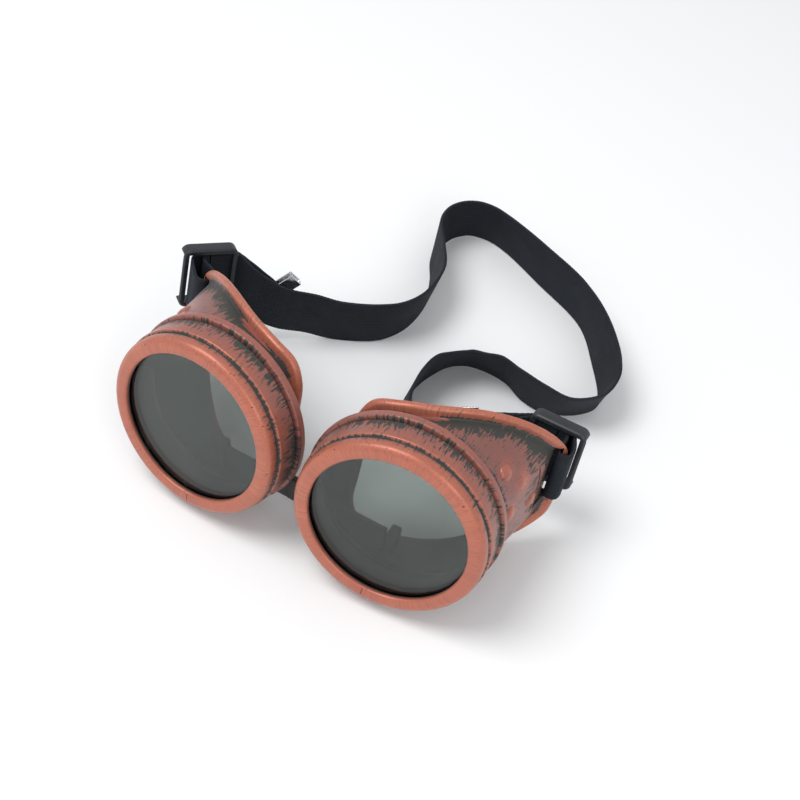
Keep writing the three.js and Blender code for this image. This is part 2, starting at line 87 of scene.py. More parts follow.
STRAP_WIDTH = 20.0
STRAP_THICKNESS = 1.1
SQUEEZED_WIDTH = 17.2
LAYER_OFFSET = 0.68
SLOT_MIDDLE = 4.2
CLIP_LENGTH = 4.5
FLOOR = -31.4
STRAP_ENDS = {
    "right": {
        "side": 1, "centre": (29.8, 56.9), "way": (-0.996, 0.087), "height": 3.4,
        "tail": ((2.5, 1.8), (3.65, 2.6)),
        "loop": [
            (32.6, 55.2), (33, 53.6), (32.9, 51), (32.6, 48.4), (32.6, 46.4), (33.2, 45),
            (34.4, 44.6), (36, 45.4), (36.6, 47.8), (36.2, 51), (35.3, 54.2), (34.7, 56.3), (33.4, 57.2),
        ],
    },
    "left": {
        "side": -1, "centre": (41.1, 57.2), "way": (-0.573, 0.82), "height": 4.3,
        "tail": ((2.25, 1.5), (3.15, 2.6)),
        "loop": [
            (41.2, 54.6), (39.6, 53.4), (36.8, 52.4), (34.3, 51.2), (32.8, 49.4), (32.6, 47.2),
            (33, 45.4), (34.4, 44.6), (36.4, 45), (39, 47.2), (42, 50), (43.7, 52.4), (43.7, 54.4),
        ],
    },
}
# The strap's long run from the left slider to the right one: its foot, and how far its upper edge leans.
STRAP_RUN = [
    (-56.5, 68.5, -20, 1.5, 1), (-49.5, 74.5, -26, 3.5, -0.5), (-41.5, 81, -28.5, 4, -1),
    (-34, 86.5, FLOOR, 3.5, -1.5), (-22, 94, FLOOR, 3, -2), (-18, 99.5, FLOOR, 4, -2),
    (-15.5, 108, FLOOR, 5, -0.5), (-16, 122, FLOOR, 4.5, 0.5), (-20, 134, FLOOR, 2, 0.5),
    (-25.5, 145, FLOOR, 1, 0), (-26.5, 154, FLOOR, 1, -1), (-25, 162, FLOOR, 2, -2.5),
    (-20.5, 167.5, FLOOR, 2, -4), (-13, 169, FLOOR, 0.5, -4.5), (-5, 167, FLOOR, -1, -4),
    (13, 158, FLOOR, -1.5, -2), (35, 146, FLOOR, -1, -1.5), (47, 130, FLOOR, 1.5, 1),
    (55, 116, FLOOR, 3, 0.5), (55.5, 110.5, FLOOR, 5, -2), (52.5, 105.5, FLOOR, 6.5, -6),
    (47, 101, FLOOR, 4.5, -8.5), (40.5, 98.5, FLOOR, 1.5, -7), (33.5, 99.5, FLOOR, -1, -6.5),
    (26, 103.5, FLOOR, -1.5, -8), (18, 104.5, FLOOR, 1, -10), (10.5, 103, FLOOR, 4.5, -9.5),
    (5.5, 98.5, FLOOR, 7.5, -7), (3, 92.5, FLOOR, 7, -5), (1.5, 86.5, FLOOR, 5.5, -4),
    (1, 81, FLOOR, 5, -6.5), (1.5, 75, FLOOR, 5.5, -9.5), (4, 69, FLOOR, 5.5, -9),
    (9, 62.5, -29, 4, -8), (15, 57.5, -26, 2, -5), (22, 54, -22.5, 0, -2),
    (33, 52.5, -20, -2, -1), (43.5, 56, -17, -1.5, -0.5),
]

CUP_SEGMENTS = 168
RING_SEGMENTS = 180
SIDES = (("left", -1), ("right", 1))


# ---- shape helpers ----

def cup_matrix(side):
    """Where a cup stands, from its own axes to the openings frame."""
    matrix = Matrix.Rotation(math.radians(side * TOE_OUT), 4, "Z")
    matrix = matrix @ Matrix.Rotation(math.radians(-TIP_UP), 4, "X")
    return Matrix.Translation((side * CUP_HALF_SPACING, 0, 0)) @ matrix


def placed(points, matrix):
    rotation = np.array(matrix.to_3x3())
    return np.asarray(points, float) @ rotation.T + np.array(matrix.translation)


def to_row(points):
    return (np.asarray(points, float) + OPENINGS_TO_ROW) * MM


def new_object(name, points, faces, smooth_angle=35):
    """A mesh object from points in the openings frame."""
    mesh = bpy.data.meshes.new(name)
    mesh.from_pydata([tuple(p) for p in to_row(points)], [], faces)
    made = bmesh.new()
    made.from_mesh(mesh)
    bmesh.ops.recalc_face_normals(made, faces=made.faces)
    made.to_mesh(mesh)
    made.free()
    shade(mesh, smooth_angle)
    obj = bpy.data.objects.new(name, mesh)
    bpy.context.scene.collection.objects.link(obj)
    return obj


def shade(mesh, angle):
    mesh.polygons.foreach_set("use_smooth", [True] * len(mesh.polygons))
    mesh.set_sharp_from_angle(angle=math.radians(angle))


def apply_modifiers(obj):
    bpy.context.view_layer.update()
    graph = bpy.context.evaluated_depsgraph_get()
    mesh = bpy.data.meshes.new_from_object(obj.evaluated_get(graph))
    obj.modifiers.clear()
    obj.data = mesh
    return obj


def grid_faces(rows, size, closed_rows, capped=False):
    """Quads between rows of points, each row a closed loop."""
    faces = []
    for row in range(rows if closed_rows else rows - 1):
        start, following = row * size, ((row + 1) % rows) * size
        for j in range(size):
            k = (j + 1) % size
            faces.append((start + j, start + k, following + k, following + j))
    if capped:
        faces.append(tuple(range(size - 1, -1, -1)))
        faces.append(tuple(range((rows - 1) * size, rows * size)))
    return faces


def rounded(profile, steps=4):
    """A closed profile of (radius, depth, corner) with each corner turned into a short curve."""
    result = []
    count = len(profile)
    for i, (x, y, corner) in enumerate(profile):
        here = np.array([x, y], float)
        before = np.array(profile[i - 1][:2], float) - here
        after = np.array(profile[(i + 1) % count][:2], float) - here
        if corner == 0:
            result.append(here)
            continue
        start = here + before * min(corner / np.linalg.norm(before), 0.45)
        end = here + after * min(corner / np.linalg.norm(after), 0.45)
        for step in range(steps + 1):
            t = step / steps
            result.append((1 - t) ** 2 * start + 2 * t * (1 - t) * here + t * t * end)
    return np.array(result)


def spline(points, closed):
    """A centripetal Catmull-Rom curve through the points, as a function of 0..1."""
    nodes = np.asarray(points, float)
    count = len(nodes)

    def at(index):
        if closed:
            return nodes[index % count]
        if index < 0:
            return 2 * nodes[0] - nodes[1]
        if index >= count:
            return 2 * nodes[-1] - nodes[-2]
        return nodes[index]

    def evaluate(t):
        place = t * (count if closed else count - 1)
        index = min(int(math.floor(place)), count - 1 if closed else count - 2)
        share = place - index
        p = [at(index + k) for k in (-1, 0, 1, 2)]
        gaps = [max(np.linalg.norm(p[k + 1] - p[k]) ** 0.5, 1e-4) for k in range(3)]
        leave = (p[1] - p[0]) / gaps[0] - (p[2] - p[0]) / (gaps[0] + gaps[1]) + (p[2] - p[1]) / gaps[1]
        arrive = (p[2] - p[1]) / gaps[1] - (p[3] - p[1]) / (gaps[1] + gaps[2]) + (p[3] - p[2]) / gaps[2]
        leave, arrive = leave * gaps[1], arrive * gaps[1]
        s2, s3 = share ** 2, share ** 3
        return (
            p[1] * (2 * s3 - 3 * s2 + 1) + leave * (s3 - 2 * s2 + share)
            + p[2] * (3 * s2 - 2 * s3) + arrive * (s3 - s2)
        )

    return evaluate


def even_places(curve, count, closed=False):
    """Places on a curve a fixed distance apart."""
    fine = np.linspace(0, 1, 1201)
    points = np.array([curve(t) for t in fine])
    lengths = np.r_[0, np.cumsum(np.linalg.norm(np.diff(points, axis=0), axis=1))]
    wanted = np.linspace(0, lengths[-1], count + 1 if closed else count)
    return np.interp(wanted[:count], lengths, fine), lengths[-1]


def box_faces(low, high):
    corners = [(x, y, z) for x in (low[0], high[0]) for y in (low[1], high[1]) for z in (low[2], high[2])]
    faces = [(0, 1, 3, 2), (4, 6, 7, 5), (0, 4, 5, 1), (2, 3, 7, 6), (0, 2, 6, 4), (1, 5, 7, 3)]
    return corners, faces


def thread_ridge(root, tip, turns, shift):
    """A helical ridge on a neck or in a ring; its hand is the same on both sides."""
    steps = round((turns[1] - turns[0]) * THREAD_STEPS_PER_TURN)
    points = []
    for i in range(steps + 1):
        turn = turns[0] + (turns[1] - turns[0]) * i / steps
        angle = 2 * math.pi * turn
        depth = THREAD_START + shift + THREAD_PITCH * turn
        for radius, along in (
            (root, -THREAD_WIDTH / 2),
            (tip, -THREAD_TIP / 2),
            (tip, THREAD_TIP / 2),
            (root, THREAD_WIDTH / 2),
        ):
            points.append((radius * math.cos(angle), depth + along, -radius * math.sin(angle)))
    return points, grid_faces(steps + 1, 4, False, capped=True)


# ---- eyecups and lens rings ----

def rim_outline():
    chin = [(x, -z * RIM_BOTTOM_SCALE) for x, z in reversed(RIM_BROW[1:-1])]
    return spline([(x, 0, z) for x, z in RIM_BROW + chin], True)


def rim_depth(x):
    """How far back the face rim stands: level beside the nose, sweeping back to the temple."""
    return RIM_NOSE_DEPTH + RIM_SWEEP * np.maximum(0, x - RIM_SWEEP_START) ** RIM_SWEEP_POWER


def cup_section(rim_point):
    """The wall's closed (radius, depth) section where the outline passes through a rim point."""
    distance = math.hypot(rim_point[0], rim_point[2])
    depth = rim_depth(rim_point[0])
    back = (distance - RIM_FLANGE, depth - 2.2)
    inner_back = (distance - RIM_WALL, depth + 0.8)

    def between(start, end, share, curve):
        return (
            start[0] + (end[0] - start[0]) * share ** curve,
            start[1] + (end[1] - start[1]) * share,
            0,
        )

    outer = [between((SKIRT_OUTER, SKIRT_FRONT), back, k / 9, 0.82) for k in range(1, 9)]
    inner = [between(inner_back, (SKIRT_INNER, SKIRT_FRONT), k / 6, 1.15) for k in range(1, 6)]
    return rounded([
        (NECK_OUTER, NECK_FRONT, 0.3),
        (NECK_OUTER, LIP_FRONT, 0.3),
        (LIP_RADIUS, LIP_FRONT, 0.7),
        (LIP_RADIUS, LIP_BACK, 0.7),
        (SKIRT_OUTER + 0.4, LIP_BACK + 0.3, 0.6),
        *outer,
        (*back, 1.1),
        (distance - 0.5, depth - 1.8, 0.9),
        (distance, depth + 0.2, 0.9),
        (distance - 1.6, depth + 1, 0.6),
        (*inner_back, 0.7),
        *inner,
        (SKIRT_INNER, SKIRT_FRONT, 0.6),
        (NECK_INNER, LIP_FRONT, 0.6),
        (NECK_INNER, NECK_FRONT, 0.3),
    ])


def boss(depth, degrees):
    """A low rounded vent boss on the temple side of the skirt."""
    angle = math.radians(degrees)
    wall = SKIRT_OUTER + (TEMPLE_RADIUS - SKIRT_OUTER) * (depth - SKIRT_FRONT) / TEMPLE_LENGTH - BOSS_SINK
    around, rows = 28, 15
    points = []
    for i in range(1, rows):
        tilt = math.pi * i / rows
        for j in range(around):
            turn = 2 * math.pi * j / around
            out = BOSS_HEIGHT * math.cos(tilt)
            along = BOSS_RADIUS * math.sin(tilt) * math.cos(turn)
            across = 0.8 * BOSS_RADIUS * math.sin(tilt) * math.sin(turn)
            radius = wall + out
            points.append((
                radius * math.cos(angle) - across * math.sin(angle), depth + along,
                radius * math.sin(angle) + across * math.cos(angle),
            ))
    return points, grid_faces(rows - 1, around, False, capped=True)


def mirror(points, side):
    return [(side * x, y, z) for x, y, z in points]


def boolean(obj, other, operation):
    modifier = obj.modifiers.new(operation, "BOOLEAN")
    modifier.operation = operation
    modifier.solver = "EXACT"
    modifier.object = other
    apply_modifiers(obj)
    bpy.data.objects.remove(other)


def eyecup(name, side):
    matrix = cup_matrix(side)
    outline = rim_outline()
    places, _ = even_places(outline, CUP_SEGMENTS, closed=True)
    points = []
    size = 0
    for t in places:
        rim_point = outline(t)
        angle = math.atan2(rim_point[2], rim_point[0])
        section = cup_section(rim_point)
        size = len(section)
        points.extend([(r * math.cos(angle), y, r * math.sin(angle)) for r, y in section])
    faces = grid_faces(CUP_SEGMENTS, size, True)
    cup = new_object(name, placed(mirror(points, side), matrix), faces)

    for place in BOSSES:
        bump_points, bump_faces = boss(*place)
        boolean(cup, new_object("boss", placed(mirror(bump_points, side), matrix), bump_faces), "UNION")
    for low, high in [STRAP_SLOT, *VENT_SLITS]:
        cut_points, cut_faces = box_faces(low, high)
        boolean(cup, new_object("cut", placed(mirror(cut_points, side), matrix), cut_faces), "DIFFERENCE")
    slot_points, slot_faces = box_faces(*BRIDGE_SLOT)
    boolean(cup, new_object("slot", slot_points, slot_faces), "DIFFERENCE")
    ridge = thread_ridge(NECK_OUTER - 0.3, NECK_OUTER + 1, CUP_THREAD_TURNS, 0)
    boolean(cup, new_object("ridge", placed(ridge[0], matrix), ridge[1]), "UNION")
    shade(cup.data, 38)
    return cup


def ring(name, side):
    lens_room = LENS_RADIUS + 0.35
    profile = rounded([
        (OPENING_RADIUS, 0.5, 0.25),
        (OPENING_RADIUS + 0.45, 0, 0.4),
        (26.5, 0, 0.8),
        (27.9, 0.9, 0.8),
        (28.3, 2.2, 0.4),
        (28.3, 3.7, 0.3),
        (27.8, 4.1, 0.15),
        (27.8, 4.5, 0.15),
        (RING_RADIUS, 4.9, 0.35),
        (RING_RADIUS, RING_BACK - 0.4, 0.4),
        (RING_RADIUS - 0.5, RING_BACK, 0.2),
        (RING_BORE, RING_BACK, 0.2),
        (RING_BORE, 6.7, 0.1),
        (lens_room, 6.7, 0.1),
        (lens_room, 1.8, 0.1),
        (OPENING_RADIUS, 1.8, 0.2),
    ])
    points = []
    for i in range(RING_SEGMENTS):
        angle = 2 * math.pi * i / RING_SEGMENTS
        points.extend([(r * math.cos(angle), y, r * math.sin(angle)) for r, y in profile])
    matrix = cup_matrix(side)
    made = new_object(name, placed(points, matrix), grid_faces(RING_SEGMENTS, len(profile), True), 50)
    ridge = thread_ridge(RING_BORE + 0.3, RING_BORE - 0.9, RING_THREAD_TURNS, -THREAD_PITCH / 2)
    boolean(made, new_object("ridge", placed(ridge[0], matrix), ridge[1]), "UNION")
    shade(made.data, 50)
    return made


PAINT_RADIUS = 27  # the paint's streaks are laid out on a cylinder of this radius


def smooth_bump(value, centre, width):
    return np.exp(-(((value - centre) / width) ** 2))


def ring_paint(radius, depth):
    """The dark wash, rubbed paint and bare wall of a screw ring."""
    groove, band_start, band_length, bezel_end = 4.3, 4.6, 7.4, 3.4
    wash = 0.85 * smooth_bump(depth, groove, 0.5)
    wash += 0.72 * np.clip((depth - band_start) / band_length, 0, 1) ** 1.1
    wash += 0.3 * smooth_bump(depth, 3.2, 1.2)
    bright = np.where(depth < bezel_end, 0.75, 0.25)
    bright = np.maximum(bright, 0.9 * smooth_bump(depth, 5.0, 0.3))
    inside = np.where((radius < OPENING_RADIUS + 1.9) & (depth > 0.9), 1.0, 0.0)
    inside = np.maximum(inside, np.where(radius < RING_BORE + 0.1, (depth > 1.6) * 1.0, 0.0))
    return wash, bright, inside


def cup_paint(radius, depth, angle):
    """The dark wash, rubbed paint and bare wall of an eyecup."""
    outline = rim_outline()
    rim = np.array([outline(t) for t in np.linspace(0, 1, 361)[:-1]])
    rim_angle = np.arctan2(rim[:, 2], rim[:, 0])
    order = np.argsort(rim_angle)
    rim_radius = np.hypot(rim[:, 0], rim[:, 2])[order]
    edge_radius = np.interp(angle, rim_angle[order], rim_radius, period=2 * math.pi)
    edge_depth = rim_depth(edge_radius * np.cos(angle))
    before_rim = edge_depth - depth
    skirt = (radius > SKIRT_INNER) & (depth > LIP_BACK)
    flange = np.clip((radius - edge_radius + 3.0) / 0.8, 0, 1) * (before_rim < 3)

    wash = 0.62 * smooth_bump(before_rim, 3.6, 3.2) * skirt * (0.8 + 0.2 * np.sin(angle))
    wash += 0.7 * smooth_bump(depth, SKIRT_FRONT + 0.2, 1.2) * (radius < LIP_RADIUS - 0.9)
    wash += 0.45 * smooth_bump(depth, 12.7, 0.35) + 0.3 * smooth_bump(depth, 15.2, 0.4)
    wash += 0.34 * skirt
    wash *= 1 - 0.9 * flange
    bright = 0.1 + 0.8 * flange
    bright = np.maximum(bright, np.where(depth < LIP_BACK, 0.3, 0))
    for boss_depth, degrees in BOSSES:
        away = np.hypot(depth - boss_depth, radius * (angle - math.radians(degrees)))
        bright = np.maximum(bright, 0.95 * smooth_bump(away, 0, 3.2))
        wash = wash * (1 - 0.8 * smooth_bump(away, 0, 2.6))

    share = np.clip((depth - SKIRT_FRONT) / np.maximum(edge_depth - SKIRT_FRONT, 1), 0, 1)
    middle = (SKIRT_OUTER + SKIRT_INNER) / 2 + (edge_radius - 4.5 - 26.5) * share ** 0.9
    middle = np.where(depth < SKIRT_FRONT, 24.6, middle)
    inside = np.clip((middle - radius) / 0.3 + 0.5, 0, 1) * (before_rim > 0.6)
    return wash, bright, inside


def paint_attributes(obj, side, is_ring):
    """Where the copper is rubbed bright, where the dark wash has settled, and where the wall is bare."""
    count = len(obj.data.vertices)
    co = np.zeros(count * 3, np.float32)
    obj.data.vertices.foreach_get("co", co)
    opened = co.reshape(-1, 3).astype(float) / MM - OPENINGS_TO_ROW
    local = placed(opened, cup_matrix(side).inverted())
    outward = side * local[:, 0]
    depth, up = local[:, 1], local[:, 2]
    radius = np.hypot(outward, up)
    angle = np.arctan2(up, outward)
    if is_ring:
        wash, bright, inside = ring_paint(radius, depth)
    else:
        wash, bright, inside = cup_paint(radius, depth, angle)
    scale = np.where(radius > 0, PAINT_RADIUS / np.maximum(radius, 1), 1)
    place = np.stack([outward * scale, up * scale, depth], 1)
    for label, values in (("wash", wash), ("bright", bright), ("inside", inside)):
        attribute = obj.data.attributes.new(label, "FLOAT", "POINT")
        attribute.data.foreach_set("value", np.asarray(values, np.float32))
    attribute = obj.data.attributes.new("place", "FLOAT_VECTOR", "POINT")
    attribute.data.foreach_set("vector", place.astype(np.float32).ravel())


# ---- strap ----

def slider_axes(end):
    along = np.array(end["way"], float)
    along /= np.linalg.norm(along)
    away = np.array([along[1], -along[0]])
    return along, away


def layer_stations(name, layer):
    """Foot points and leans through a slider's channel."""
    end = STRAP_ENDS[name]
    along, away = slider_axes(end)
    matrix = cup_matrix(end["side"])
    stations = []
    for s in (0.2, 4.8, 9.3):
        x, y = np.array(end["centre"]) + s * along + layer * LAYER_OFFSET * away
        ends = [(end["side"] * x, y, end["height"] + k * SQUEEZED_WIDTH / 2) for k in (-1, 1)]
        foot, head = placed(ends, matrix)
        stations.append((foot, head - foot))
    return stations


def run_stations():
    middle = []
    for x, y, z, lean_x, lean_y in STRAP_RUN:
        rise = math.sqrt(STRAP_WIDTH ** 2 - lean_x ** 2 - lean_y ** 2)
        middle.append((np.array([x, y, z], float), np.array([lean_x, lean_y, rise])))
    return layer_stations("left", -1) + middle + layer_stations("right", -1)[::-1]


def tail_stations(name):
    """The loose tail beside the run, straight for its last few millimetres under the clip."""
    run = run_stations() if name == "left" else run_stations()[::-1]
    side = STRAP_ENDS[name]["side"]
    ends = []
    for place, offset in STRAP_ENDS[name]["tail"]:
        near, far = run[int(place)], run[int(place) + 1]
        share = place % 1
        lean = near[1] * (1 - share) + far[1] * share
        face = np.cross(far[0] - near[0], lean)
        face *= side * offset / np.linalg.norm(face)
        ends.append([near[0] * (1 - share) + far[0] * share + face, lean])
    bend, end = ends
    way = end[0] - bend[0]
    way /= np.linalg.norm(way)
    end[1] = end[1] - way * end[1].dot(way)
    return layer_stations(name, 1) + [bend, (end[0] - way * CLIP_LENGTH, end[1]), end]


def loop_stations(name):
    end = STRAP_ENDS[name]
    along, away = slider_axes(end)
    centre = np.array(end["centre"])
    inner = [centre + s * along - LAYER_OFFSET * away for s in (-0.2, -1.6)]
    outer = [centre + s * along + LAYER_OFFSET * away for s in (-1.6, -0.2)]
    plan = [*inner, *[np.array(p, float) for p in end["loop"]], *outer]
    matrix = cup_matrix(end["side"])
    stations = []
    for i, (x, y) in enumerate(plan):
        share = 1 - abs(2 * i / (len(plan) - 1) - 1)
        height = end["height"] + (SLOT_MIDDLE - end["height"]) * min(1, 1.6 * share)
        ends = [(end["side"] * x, y, height + k * SQUEEZED_WIDTH / 2) for k in (-1, 1)]
        foot, head = placed(ends, matrix)
        stations.append((foot, head - foot))
    return stations


RIB_PITCH = 1.25  # along the strap, between the bumps of its woven edge
EDGE_BUMP = 0.1
ROW_STEP = 0.3
ROW_POINTS = 16


def webbing_rows(stations):
    """Rows round the webbing's section, with softly bumped edges, and how far along the strap each row is."""
    feet = spline([s[0] for s in stations], False)
    leans = spline([s[1] for s in stations], False)
    length = even_places(feet, 2)[1]
    count = max(8, round(length / ROW_STEP))
    places, length = even_places(feet, count)
    half = STRAP_THICKNESS / 2
    rows, distances = [], []
    for i, t in enumerate(places):
        foot, lean = feet(t), leans(t)
        ahead, behind = feet(min(1, t + 1e-3)), feet(max(0, t - 1e-3))
        face = np.cross(ahead - behind, lean)
        face *= half / np.linalg.norm(face)
        width = np.linalg.norm(lean)
        distance = length * i / (count - 1)
        edge = 0.05 + EDGE_BUMP * (0.5 + 0.5 * math.cos(2 * math.pi * distance / RIB_PITCH))
        row = []
        for k in range(ROW_POINTS + 1):
            share = k / ROW_POINTS
            row.append((0.3 + edge + share * (width - 0.6 - 2 * edge), 0.93))
        section = [(edge, 0.35), (edge + 0.1, 0.75), *row, (width - edge - 0.1, 0.75), (width - edge, 0.35)]
        points = [foot + lean * (u / width) + face * v for u, v in section]
        points += [foot + lean * (u / width) - face * v for u, v in reversed(section)]
        across = [u for u, _ in section] + [u for u, _ in reversed(section)]
        rows.append((points, across))
        distances.append(distance)
    return rows, distances


def webbing(name, rows, distances):
    """A capped piece of webbing with its along and across measures kept for the weave."""
    size = len(rows[0][0])
    points = [p for row, _ in rows for p in row]
    obj = new_object(name, points, grid_faces(len(rows), size, False, capped=True), 60)
    along = np.repeat(np.array(distances, np.float32), size)
    across = np.array([a for _, row in rows for a in row], np.float32)
    for label, values in (("along", along), ("across", across)):
        attribute = obj.data.attributes.new(label, "FLOAT", "POINT")
        attribute.data.foreach_set("value", values)
    finish_piece(obj, "webbing")
    return obj


def row_at(distances, wanted):
    """The row nearest to a distance along the strap."""
    return min(range(len(distances)), key=lambda i: abs(distances[i] - wanted))


# ---- materials ----

def node(tree, kind, **settings):
    made = tree.nodes.new(kind)
    for key, value in settings.items():
        setattr(made, key, value)
    return made


def link(tree, start, end):
    tree.links.new(start, end)


def attribute_value(tree, name):
    return node(tree, "ShaderNodeAttribute", attribute_name=name).outputs["Fac"]


def maths(tree, operation, *values, clamp=False):
    made = node(tree, "ShaderNodeMath", operation=operation, use_clamp=clamp)
    for socket, value in zip(made.inputs, values):
        if isinstance(value, (int, float)):
            socket.default_value = value
        else:
            link(tree, value, socket)
    return made.outputs[0]


def noise(tree, vector, scale, detail=4.0, roughness=0.55):
    made = node(tree, "ShaderNodeTexNoise")
    made.inputs["Scale"].default_value = scale
    made.inputs["Detail"].default_value = detail
    made.inputs["Roughness"].default_value = roughness
    link(tree, vector, made.inputs["Vector"])
    return made.outputs["Fac"]


def stretched(tree, vector, scale):
    made = node(tree, "ShaderNodeMapping")
    made.inputs["Scale"].default_value = scale
    link(tree, vector, made.inputs["Vector"])
    return made.outputs["Vector"]


def ramp(tree, value, stops):
    made = node(tree, "ShaderNodeValToRGB")
    elements = made.color_ramp.elements
    while len(elements) < len(stops):
        elements.new(0.5)
    for element, (place, color) in zip(elements, stops):
        element.position = place
        element.color = (*color, 1) if isinstance(color, tuple) else (color, color, color, 1)
    link(tree, value, made.inputs["Fac"])
    return made.outputs["Color"]


def mixed(tree, share, first, second):
    made = node(tree, "ShaderNodeMix", data_type="RGBA")
    link(tree, share, made.inputs["Factor"])
    for socket, value in (("A", first), ("B", second)):
        target = next(s for s in made.inputs if s.name == socket and s.type == "RGBA")
        if isinstance(value, tuple):
            target.default_value = (*value, 1)
        else:
            link(tree, value, target)
    return next(s for s in made.outputs if s.type == "RGBA")


def bump(tree, shader, height, strength, distance):
    made = node(tree, "ShaderNodeBump")
    made.inputs["Strength"].default_value = strength
    made.inputs["Distance"].default_value = distance
    link(tree, height, made.inputs["Height"])
    link(tree, made.outputs["Normal"], shader.inputs["Normal"])


def material(name, **constants):
    made = bpy.data.materials.new(name)
    made.use_nodes = True
    shader = made.node_tree.nodes["Principled BSDF"]
    for key, value in constants.items():
        socket = shader.inputs[key.replace("_", " ")]
        socket.default_value = (*value, 1) if isinstance(value, tuple) else value
    return made, made.node_tree, shader


def copper_material():
    """Antique copper paint on plastic: rubbed bright on its edges, with a dark wash left in the grooves."""
    made, tree, shader = material("copper_paint", Metallic=0.25, Coat_Weight=0.15, Coat_Roughness=0.28)
    place = node(tree, "ShaderNodeAttribute", attribute_name="place").outputs["Vector"]
    wash, bright = attribute_value(tree, "wash"), attribute_value(tree, "bright")
    inside = attribute_value(tree, "inside")
    cloud = noise(tree, stretched(tree, place, (0.09, 0.09, 0.07)), 1.0, 3)
    streaks = noise(tree, stretched(tree, place, (1.5, 1.5, 0.28)), 1.0, 6, 0.66)
    fine = noise(tree, stretched(tree, place, (3.5, 3.5, 2.0)), 1.0, 5, 0.7)
    tone = maths(tree, "MULTIPLY", bright, 0.55)
    tone = maths(tree, "ADD", tone, maths(tree, "MULTIPLY", cloud, 0.6), clamp=True)
    copper = ramp(tree, tone, [
        (0.15, (0.20, 0.088, 0.078)), (0.42, (0.34, 0.115, 0.088)), (0.72, (0.49, 0.145, 0.085)),
        (1.0, (0.62, 0.20, 0.11)),
    ])
    mottled = mixed(tree, ramp(tree, fine, [(0.42, 0.0), (0.68, 0.6)]), copper, (0.24, 0.075, 0.06))
    amount = maths(tree, "ADD", wash, maths(tree, "MULTIPLY", streaks, 2.2))
    amount = maths(tree, "MULTIPLY", maths(tree, "ADD", amount, cloud), 0.4)
    dark = ramp(tree, amount, [(0.82, 0.0), (0.862, 1.0)])
    # A grey-mauve layer where the dark wash thins out: partly a haze of the wash, partly painted sheen, the
    # satin shine of the paint put into its colour.
    haze_and_painted_sheen = ramp(tree, amount, [(0.70, 0.0), (0.86, 0.55)])
    copper_with_haze_and_sheen = mixed(tree, haze_and_painted_sheen, mottled, (0.15, 0.105, 0.092))
    washed = mixed(tree, dark, copper_with_haze_and_sheen, (0.046, 0.05, 0.045))
    pits = node(tree, "ShaderNodeTexVoronoi", feature="F1")
    link(tree, stretched(tree, place, (0.62, 0.62, 0.62)), pits.inputs["Vector"])
    pits.inputs["Scale"].default_value = 1.0
    near = ramp(tree, pits.outputs["Distance"], [(0.085, 1.0), (0.14, 0.0)])
    patchy = noise(tree, stretched(tree, place, (0.3, 0.3, 0.3)), 1.0, 2)
    patches = ramp(tree, patchy, [(0.47, 0.0), (0.53, 1.0)])
    spots = maths(tree, "MULTIPLY", near, patches)
    spotted = mixed(tree, spots, washed, (0.05, 0.03, 0.028))
    link(tree, mixed(tree, inside, spotted, (0.035, 0.037, 0.04)), shader.inputs["Base Color"])
    rough = maths(tree, "ADD", maths(tree, "MULTIPLY", dark, 0.25), maths(tree, "MULTIPLY", fine, 0.2))
    link(tree, maths(tree, "ADD", rough, 0.3), shader.inputs["Roughness"])
    height = maths(tree, "SUBTRACT", maths(tree, "MULTIPLY", fine, 0.5), maths(tree, "MULTIPLY", dark, 0.8))
    height = maths(tree, "SUBTRACT", height, spots)
    bump(tree, shader, height, 0.45, 0.00016)
    return made


RIB_WIDTH, STITCH_LENGTH = 0.85, 0.62  # of the weave, in millimetres


def webbing_material():
    """Knitted elastic webbing: fine ribs along it, crossed by small stitches."""
    made, tree, shader = material("elastic_webbing", Specular_IOR_Level=0.25)
    along, across = attribute_value(tree, "along"), attribute_value(tree, "across")
    ribs = maths(tree, "SINE", maths(tree, "MULTIPLY", across, 2 * math.pi / RIB_WIDTH))
    stitches = maths(tree, "SINE", maths(tree, "MULTIPLY", along, 2 * math.pi / STITCH_LENGTH))
    weave = maths(tree, "ADD", maths(tree, "MULTIPLY", ribs, 0.55), maths(tree, "MULTIPLY", stitches, 0.35))
    joined_place = node(tree, "ShaderNodeCombineXYZ")
    link(tree, along, joined_place.inputs[0])
    link(tree, across, joined_place.inputs[1])
    fuzz = noise(tree, joined_place.outputs[0], 2.2, 5, 0.7)
    cloud = noise(tree, joined_place.outputs[0], 0.12, 2)
    shade_value = maths(tree, "ADD", maths(tree, "MULTIPLY", weave, 0.16), maths(tree, "MULTIPLY", fuzz, 0.5))
    shade_value = maths(tree, "ADD", shade_value, maths(tree, "MULTIPLY", cloud, 0.4), clamp=True)
    color = ramp(tree, shade_value, [
        (0.15, (0.006, 0.008, 0.012)), (0.5, (0.013, 0.017, 0.024)), (0.9, (0.028, 0.034, 0.043)),
    ])
    link(tree, color, shader.inputs["Base Color"])
    link(tree, maths(tree, "ADD", maths(tree, "MULTIPLY", fuzz, 0.2), 0.68), shader.inputs["Roughness"])
    bump(tree, shader, maths(tree, "ADD", weave, fuzz), 0.5, 0.00018)
    return made


GRAIN_SCALE, HANDLED_SCALE = 3600.0, 150.0


def moulded_material(name, low, high, roughness, bump_size):
    """Moulded black plastic or rubber: a fine grain, and slight clouding where it has been handled."""
    made, tree, shader = material(name)
    coordinates = node(tree, "ShaderNodeTexCoord").outputs["Object"]
    grain = noise(tree, coordinates, GRAIN_SCALE, 4, 0.6)
    cloud = noise(tree, coordinates, HANDLED_SCALE, 3)
    link(tree, ramp(tree, cloud, [(0.3, low), (0.75, high)]), shader.inputs["Base Color"])
    rough = maths(tree, "ADD", maths(tree, "MULTIPLY", cloud, 0.22), roughness)
    link(tree, rough, shader.inputs["Roughness"])
    bump(tree, shader, grain, 0.35, bump_size)
    return made


